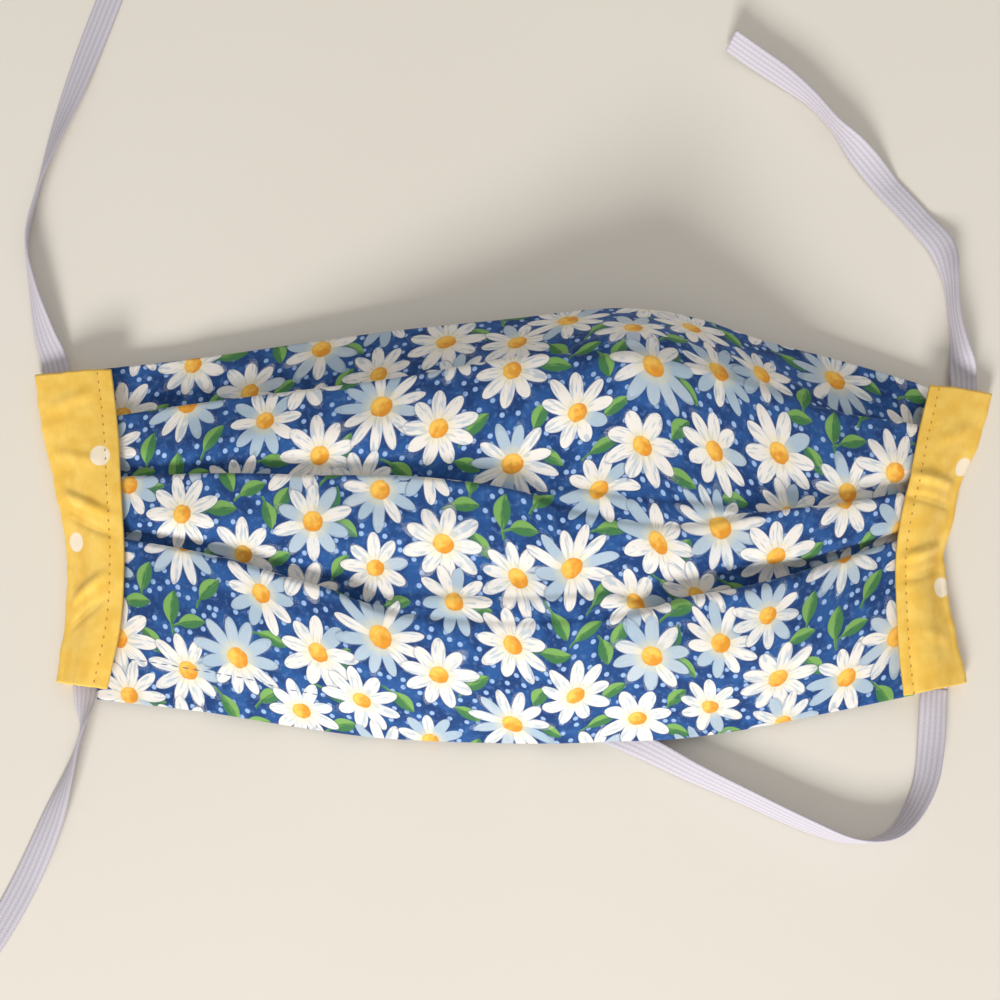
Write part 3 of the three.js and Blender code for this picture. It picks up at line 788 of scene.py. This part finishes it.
def paint_daisy(nodes, place, look):
    """Rounded painted petals round a warm centre."""
    u, v, seed = nodes.split(place)
    petals, tone, _ = nodes.split(look)
    radius = nodes.math("SQRT", nodes.math("MULTIPLY_ADD", u, u, nodes.math("MULTIPLY", v, v)))
    turn = nodes.math("MULTIPLY_ADD", nodes.math("ARCTAN2", v, u), 1 / (2 * math.pi), 0.5)
    sector = nodes.math("MULTIPLY", turn, petals)
    petal = nodes.math("FLOOR", sector)
    chance = nodes.add("TexWhiteNoise", nodes.vector(petal, seed), noise_dimensions="2D")
    reach_chance, shift_chance, tone_chance = nodes.split(chance.outputs["Color"])
    tip = nodes.math("MULTIPLY_ADD", reach_chance, 0.2, 0.84)
    side = nodes.math("SUBTRACT", nodes.math("SUBTRACT", sector, petal), 0.5)
    side = nodes.math("ADD", side, nodes.math("MULTIPLY_ADD", shift_chance, 0.14, -0.07))
    lateral = nodes.math("MULTIPLY", nodes.math("MULTIPLY", side, radius),
                         nodes.math("DIVIDE", 2 * math.pi, petals))
    along = nodes.math("DIVIDE", nodes.math("SUBTRACT", radius, 0.18),
                       nodes.math("SUBTRACT", tip, 0.18))
    swell = nodes.math("MAXIMUM", nodes.math(
        "DIVIDE", nodes.math("SUBTRACT", along, 0.6), 0.42), 0.0)
    profile = nodes.math("SQRT", nodes.math("MAXIMUM", nodes.math(
        "SUBTRACT", 1.0, nodes.math("MULTIPLY", swell, swell)), 0.0))
    half_width = nodes.math("MULTIPLY", profile, nodes.math("DIVIDE", 1.72, petals))
    inside = nodes.math("SUBTRACT", half_width, nodes.math("ABSOLUTE", lateral))
    sector_edge = nodes.math("MULTIPLY", nodes.math("SUBTRACT", 0.5, nodes.math(
        "ABSOLUTE", nodes.math("SUBTRACT", nodes.math("SUBTRACT", sector, petal), 0.5))),
        nodes.math("DIVIDE", nodes.math("MULTIPLY", radius, 2 * math.pi), petals))
    petal_mask = nodes.math("MULTIPLY", nodes.edge(inside, 0.0, 0.025),
                            nodes.edge(profile, 0.02, 0.12))
    blue = nodes.math("LESS_THAN", tone_chance, tone)
    colour = nodes.blend(blue, PETAL_WHITE, PETAL_BLUE)
    streak_place = nodes.vector(nodes.math("MULTIPLY", lateral, 15), nodes.math(
        "MULTIPLY", radius, 2.4), nodes.math("MULTIPLY_ADD", petal, 3.1, seed))
    streak = nodes.edge(nodes.noise(streak_place, 1.0, 1.0), 0.52, 0.66)
    colour = nodes.blend(nodes.math("MULTIPLY", streak, 0.75), colour, PETAL_STREAK)
    rim = nodes.edge(nodes.math("MINIMUM", inside, sector_edge), 0.035, 0.0)
    colour = nodes.blend(nodes.math("MULTIPLY", rim, 0.4), colour, PETAL_RIM)
    near = nodes.edge(radius, 0.5, 0.26)
    colour = nodes.blend(nodes.math("MULTIPLY", near, 0.4), colour, PETAL_GLOW)
    wobble = nodes.noise(nodes.vector(u, v, seed), 7.0, 2.0)
    round_centre = nodes.math("ADD", radius, nodes.math("MULTIPLY_ADD", wobble, 0.06, -0.03))
    centre_mask = nodes.edge(round_centre, 0.255, 0.23)
    slant = nodes.math("MULTIPLY_ADD", v, 1.6, nodes.math("MULTIPLY", u, -0.8))
    warm = nodes.edge(nodes.math("ADD", slant, nodes.math("MULTIPLY_ADD", wobble, 1.2, -0.6)),
                      -0.35, 0.35)
    centre = nodes.blend(warm, CENTRE_DARK, CENTRE_LIGHT)
    dark_rim = nodes.math("MULTIPLY", nodes.edge(round_centre, 0.17, 0.24), 0.35)
    centre = nodes.blend(dark_rim, centre, CENTRE_RIM)
    colour = nodes.blend(centre_mask, colour, centre)
    mask = nodes.math("MAXIMUM", petal_mask, centre_mask)
    # painted shadow: a dark halo just outside the petals, darkening what lies under the flower
    shade = nodes.math("MULTIPLY", nodes.edge(inside, -0.06, 0.0), nodes.edge(radius, 1.1, 0.95))
    return colour, mask, shade


def paint_leaf(nodes, place):
    """A pointed leaf with a light half, a dark half and a short stem; 1 is its reach."""
    u, v, seed = nodes.split(place)
    u = nodes.math("MULTIPLY", u, LEAF_REACH)
    v = nodes.math("MULTIPLY", v, LEAF_REACH)
    bend = nodes.math("MULTIPLY_ADD", nodes.math("MULTIPLY", u, u), 0.12, v)
    body = nodes.math("MULTIPLY", nodes.math("SUBTRACT", 1.0, nodes.math("MULTIPLY", u, u)), 0.5)
    inside = nodes.math("SUBTRACT", body, nodes.math("ABSOLUTE", bend))
    mask = nodes.edge(inside, 0.0, 0.08)
    stem = nodes.math("MULTIPLY", nodes.edge(nodes.math("ABSOLUTE", bend), 0.11, 0.05),
                      nodes.math("MULTIPLY", nodes.edge(u, -1.6, -1.45), nodes.edge(u, -0.7, -0.9)))
    streak = nodes.noise(nodes.vector(nodes.math("MULTIPLY", u, 2.0), nodes.math(
        "MULTIPLY", v, 7.0), seed), 1.0, 2.0)
    half = nodes.edge(nodes.math("ADD", bend, nodes.math("MULTIPLY_ADD", streak, 0.5, -0.25)),
                      -0.12, 0.12)
    colour = nodes.blend(half, LEAF_DARK, LEAF_LIGHT)
    rib = nodes.edge(nodes.math("ABSOLUTE", bend), 0.07, 0.02)
    colour = nodes.blend(nodes.math("MULTIPLY", rib, 0.5), colour, LEAF_RIB)
    # the third output is a painted shadow just outside the leaf, darkening what lies under it
    return colour, nodes.math("MAXIMUM", mask, stem), nodes.edge(inside, -0.25, 0.0)


def daisy_colour(nodes):
    cloth = nodes.cloth()
    broad = nodes.edge(nodes.noise(cloth, 0.16, 3.0), 0.38, 0.62)
    fine = nodes.edge(nodes.noise(cloth, 0.75, 3.0), 0.5, 0.72)
    colour = nodes.blend(broad, GROUND_DARK, GROUND_MID)
    colour = nodes.blend(nodes.math("MULTIPLY", fine, 0.6), colour, GROUND_LIGHT)
    specks = nodes.add("TexVoronoi", voronoi_dimensions="2D")
    nodes.put(specks.inputs["Vector"], cloth)
    nodes.put(specks.inputs["Scale"], 1 / SPECK_PITCH)
    nodes.put(specks.inputs["Randomness"], 0.7)
    radius = SPECK_RADIUS / SPECK_PITCH
    speck = nodes.edge(specks.outputs["Distance"], radius * 1.2, radius * 0.8)
    colour = nodes.blend(nodes.math("MULTIPLY", speck, 0.9), colour, SPECK_BLUE)
    daisy = motif_group("daisy", ("Place", "Look"), paint_daisy)
    leaf = motif_group("leaf", ("Place",), paint_leaf)
    for slot in range(LEAF_SLOTS):
        colour = lay_motif(nodes, colour, leaf, 0.35, f"leaf_{slot}")
    for slot in range(FLOWER_SLOTS):
        colour = lay_motif(nodes, colour, daisy, 0.5, f"flower_{slot}", f"flower_look_{slot}")
    return colour


def lay_motif(nodes, under, group, shade, *attributes):
    """Paints a motif over what lies under it, with a painted dark blue shadow round it."""
    node = nodes.add("Group", node_tree=group)
    for socket, name in zip(node.inputs, attributes):
        nodes.put(socket, nodes.add("Attribute", attribute_name=name).outputs["Vector"])
    # edge here is the motif's painted shadow, which darkens what lies under it
    colour, mask, edge = node.outputs
    shaded = nodes.blend(nodes.math("MULTIPLY", edge, shade), under, MOTIF_SHADE)
    return nodes.blend(mask, shaded, colour)


def daisy_cotton():
    return cloth_material("daisy_cotton", daisy_colour, pitch=0.5, roughness=0.82, sheen=0.12,
                          slub=1.5)


def inside_cotton():
    def colour(nodes):
        patch = nodes.noise(nodes.cloth(), 0.2, 4.0)
        return nodes.blend(patch, INSIDE_DARK, INSIDE_LIGHT)
    return cloth_material("inside_cotton", colour, pitch=0.5, roughness=0.86, sheen=0.12,
                          slub=1.5)


def yellow_cotton(side):
    def colour(nodes):
        cloth = nodes.cloth()
        patch = nodes.edge(nodes.noise(cloth, 0.22, 4.0), 0.3, 0.7)
        yellow = nodes.blend(patch, YELLOW_DARK, YELLOW_LIGHT)
        thread = nodes.noise(nodes.vector(*[nodes.math("MULTIPLY", s, k) for s, k in zip(
            nodes.split(cloth), (0.5, 4.0, 1.0))]), 1.0, 2.0)
        yellow = nodes.blend(nodes.math("MULTIPLY", nodes.edge(thread, 0.5, 0.8), 0.25),
                             yellow, YELLOW_SLUB)
        gap = None
        for along, across in CASING_DOTS[side]:
            away = nodes.add("VectorMath", cloth, (along, across, 0),
                             operation="DISTANCE").outputs["Value"]
            gap = away if gap is None else nodes.math("MINIMUM", gap, away)
        dot = nodes.edge(gap, DOT_RADIUS + 0.25, DOT_RADIUS - 0.25)
        return nodes.blend(nodes.math("MULTIPLY", dot, 0.85), yellow, DOT_WHITE)
    return cloth_material(f"yellow_cotton_{side}", colour, pitch=0.55, roughness=0.8,
                          sheen=0.15, slub=2.0)


def braid():
    def colour(nodes):
        u, v, _ = nodes.split(nodes.cloth())
        wave = nodes.math("COSINE", nodes.math("MULTIPLY", u, 2 * math.pi * ELASTIC_RIBS
                                               / ELASTIC_WIDTH))
        chevron = nodes.math("SINE", nodes.math("ADD", nodes.math("MULTIPLY", v, 5.2),
                                                nodes.math("MULTIPLY", wave, 1.6)))
        # painted shade: the grooves between the ribs are painted darker than the ribs, and the
        # chevrons darker again
        ribbed = nodes.blend(nodes.edge(wave, -0.9, 0.6), BRAID_GROOVE_SHADE, BRAID_RIB)
        return nodes.blend(nodes.math("MULTIPLY", nodes.edge(chevron, 0.1, 1.0), 0.15),
                           ribbed, BRAID_SHADE)
    return cloth_material("elastic", colour, pitch=0.9, roughness=0.7, sheen=0.1, slub=1.0)


def thread(name, levels):
    def colour(nodes):
        patch = nodes.noise(nodes.add("TexCoord").outputs["Object"], 2500.0)
        return nodes.blend(patch, srgb(*levels), srgb(*[v * 0.82 for v in levels]))
    return cloth_material(name, colour, pitch=0.3, roughness=0.6, sheen=0.1, slub=1.0)


# ------------------------------------------------------------------ stage
VIEW_HALF = 120.65              # half the side of the square that the view takes in, mm
VIEW_CENTRE = (-3.3, 6.6)
VIEW_DISTANCE = 350.0
VIEW_TILT = math.radians(7)
FLOOR_REACH = 900.0
WORLD_STRENGTH = 0.37


def light(name, place, size, power, colour):
    """A soft square light that faces the mask."""
    lamp = bpy.data.lights.new(name, "AREA")
    lamp.size = size
    lamp.energy = power
    lamp.color = colour
    obj = bpy.data.objects.new(name, lamp)
    obj.location = place
    obj.rotation_euler = (-Vector(place)).to_track_quat("-Z", "Y").to_euler()
    bpy.context.scene.collection.objects.link(obj)


def floor_material():
    mat = bpy.data.materials.new("floor")
    mat.use_nodes = True
    nodes = Nodes(mat.node_tree)
    shader = mat.node_tree.nodes["Principled BSDF"]
    patch = nodes.noise(nodes.add("TexCoord").outputs["Object"], 5.0, 2.0)
    nodes.put(shader.inputs["Base Color"],
              nodes.blend(patch, FLOOR_DARK, FLOOR_LIGHT))
    shader.inputs["Roughness"].default_value = 0.7
    return mat


def stage():
    r = FLOOR_REACH
    floor = mesh_object("floor", [[-r, -r, 0], [r, -r, 0], [r, r, 0], [-r, r, 0]],
                        [[0, 1, 2, 3]], smooth=False)
    floor.data.materials.append(floor_material())
    camera = bpy.data.cameras.new("camera")
    camera.sensor_width = 36
    camera.lens = camera.sensor_width / 2 * VIEW_DISTANCE / VIEW_HALF
    camera.clip_start = 0.01
    eye = bpy.data.objects.new("camera", camera)
    eye.location = (VIEW_CENTRE[0] * MM,
                    (VIEW_CENTRE[1] - math.sin(VIEW_TILT) * VIEW_DISTANCE) * MM,
                    math.cos(VIEW_TILT) * VIEW_DISTANCE * MM)
    eye.rotation_euler = (VIEW_TILT, 0, 0)
    scene = bpy.context.scene
    scene.collection.objects.link(eye)
    scene.camera = eye
    scene.view_settings.view_transform = "Standard"
    light("window", place=(-0.3, -1.35, 0.78), size=0.5, power=25.0, colour=(1, 0.98, 0.95))
    light("room", place=(0.4, 0.5, 1.1), size=1.2, power=3.4, colour=(1, 0.98, 0.96))
    world = bpy.data.worlds.new("world")
    world.use_nodes = True
    background = world.node_tree.nodes["Background"]
    background.inputs["Color"].default_value = (1, 0.975, 0.95, 1)
    background.inputs["Strength"].default_value = WORLD_STRENGTH
    scene.world = world


# ------------------------------------------------------------------ the mask
MOUTHS = {("left", "upper"): 36.5, ("left", "lower"): -38,
          ("right", "upper"): 32.5, ("right", "lower"): -39}     # height up the mask, mm


def dress(piece, node):
    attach(piece, "root")
    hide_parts(node)


def add_panel():
    cloth, grid = panel()
    dress(cloth, "mask_body")
    seam = stitch_line(grid, -HEM_STITCH["above"], HEM_STITCH["pitch"], PANEL_CLOTH,
                       HEM_STITCH["from"], HEM_STITCH["to"])
    hem = stitches("hem_topstitch", seam, length=1.7, width=0.24, height=0.24,
                   mat=thread("hem_thread", BLUE_THREAD))
    dress(hem, "mask_body")


def add_casing(side, tan):
    sleeve, seam = casing(side)
    dress(sleeve, f"casing_{side}")
    line = stitches(f"topstitch_{side}", seam, length=0.7, width=0.36, height=0.34, mat=tan)
    dress(line, f"casing_{side}")


def add_elastic(side, mat):
    """Two loose ends, each a cord from its casing's mouth, and the stretch between them."""
    centre, heading, roll = elastic_line(side)
    upper = int(np.argmin(np.abs(centre[:, 1] - MOUTHS[side, "upper"])))
    lower_half = np.arange(len(centre)) > upper
    to_mouth = np.where(lower_half, np.abs(centre[:, 1] - MOUTHS[side, "lower"]), 1e9)
    lower = int(np.argmax(to_mouth < 2 * RING_STEP))
    spans = {"upper": (0, upper), "channel": (upper, lower), "lower": (lower, len(centre) - 1)}
    for part, (first, last) in spans.items():
        cut = slice(first, last + 1)
        piece = ribbon(f"elastic_{side}_{part}", centre[cut], heading[cut], roll[cut], first)
        piece.data.materials.append(mat)
        dress(piece, f"elastic_{side}")
        if part == "channel":
            continue


stage()
add_panel()
tan_thread = thread("tan_thread", TAN_THREAD)
elastic_braid = braid()
for side in ("left", "right"):
    add_casing(side, tan_thread)
    add_elastic(side, elastic_braid)
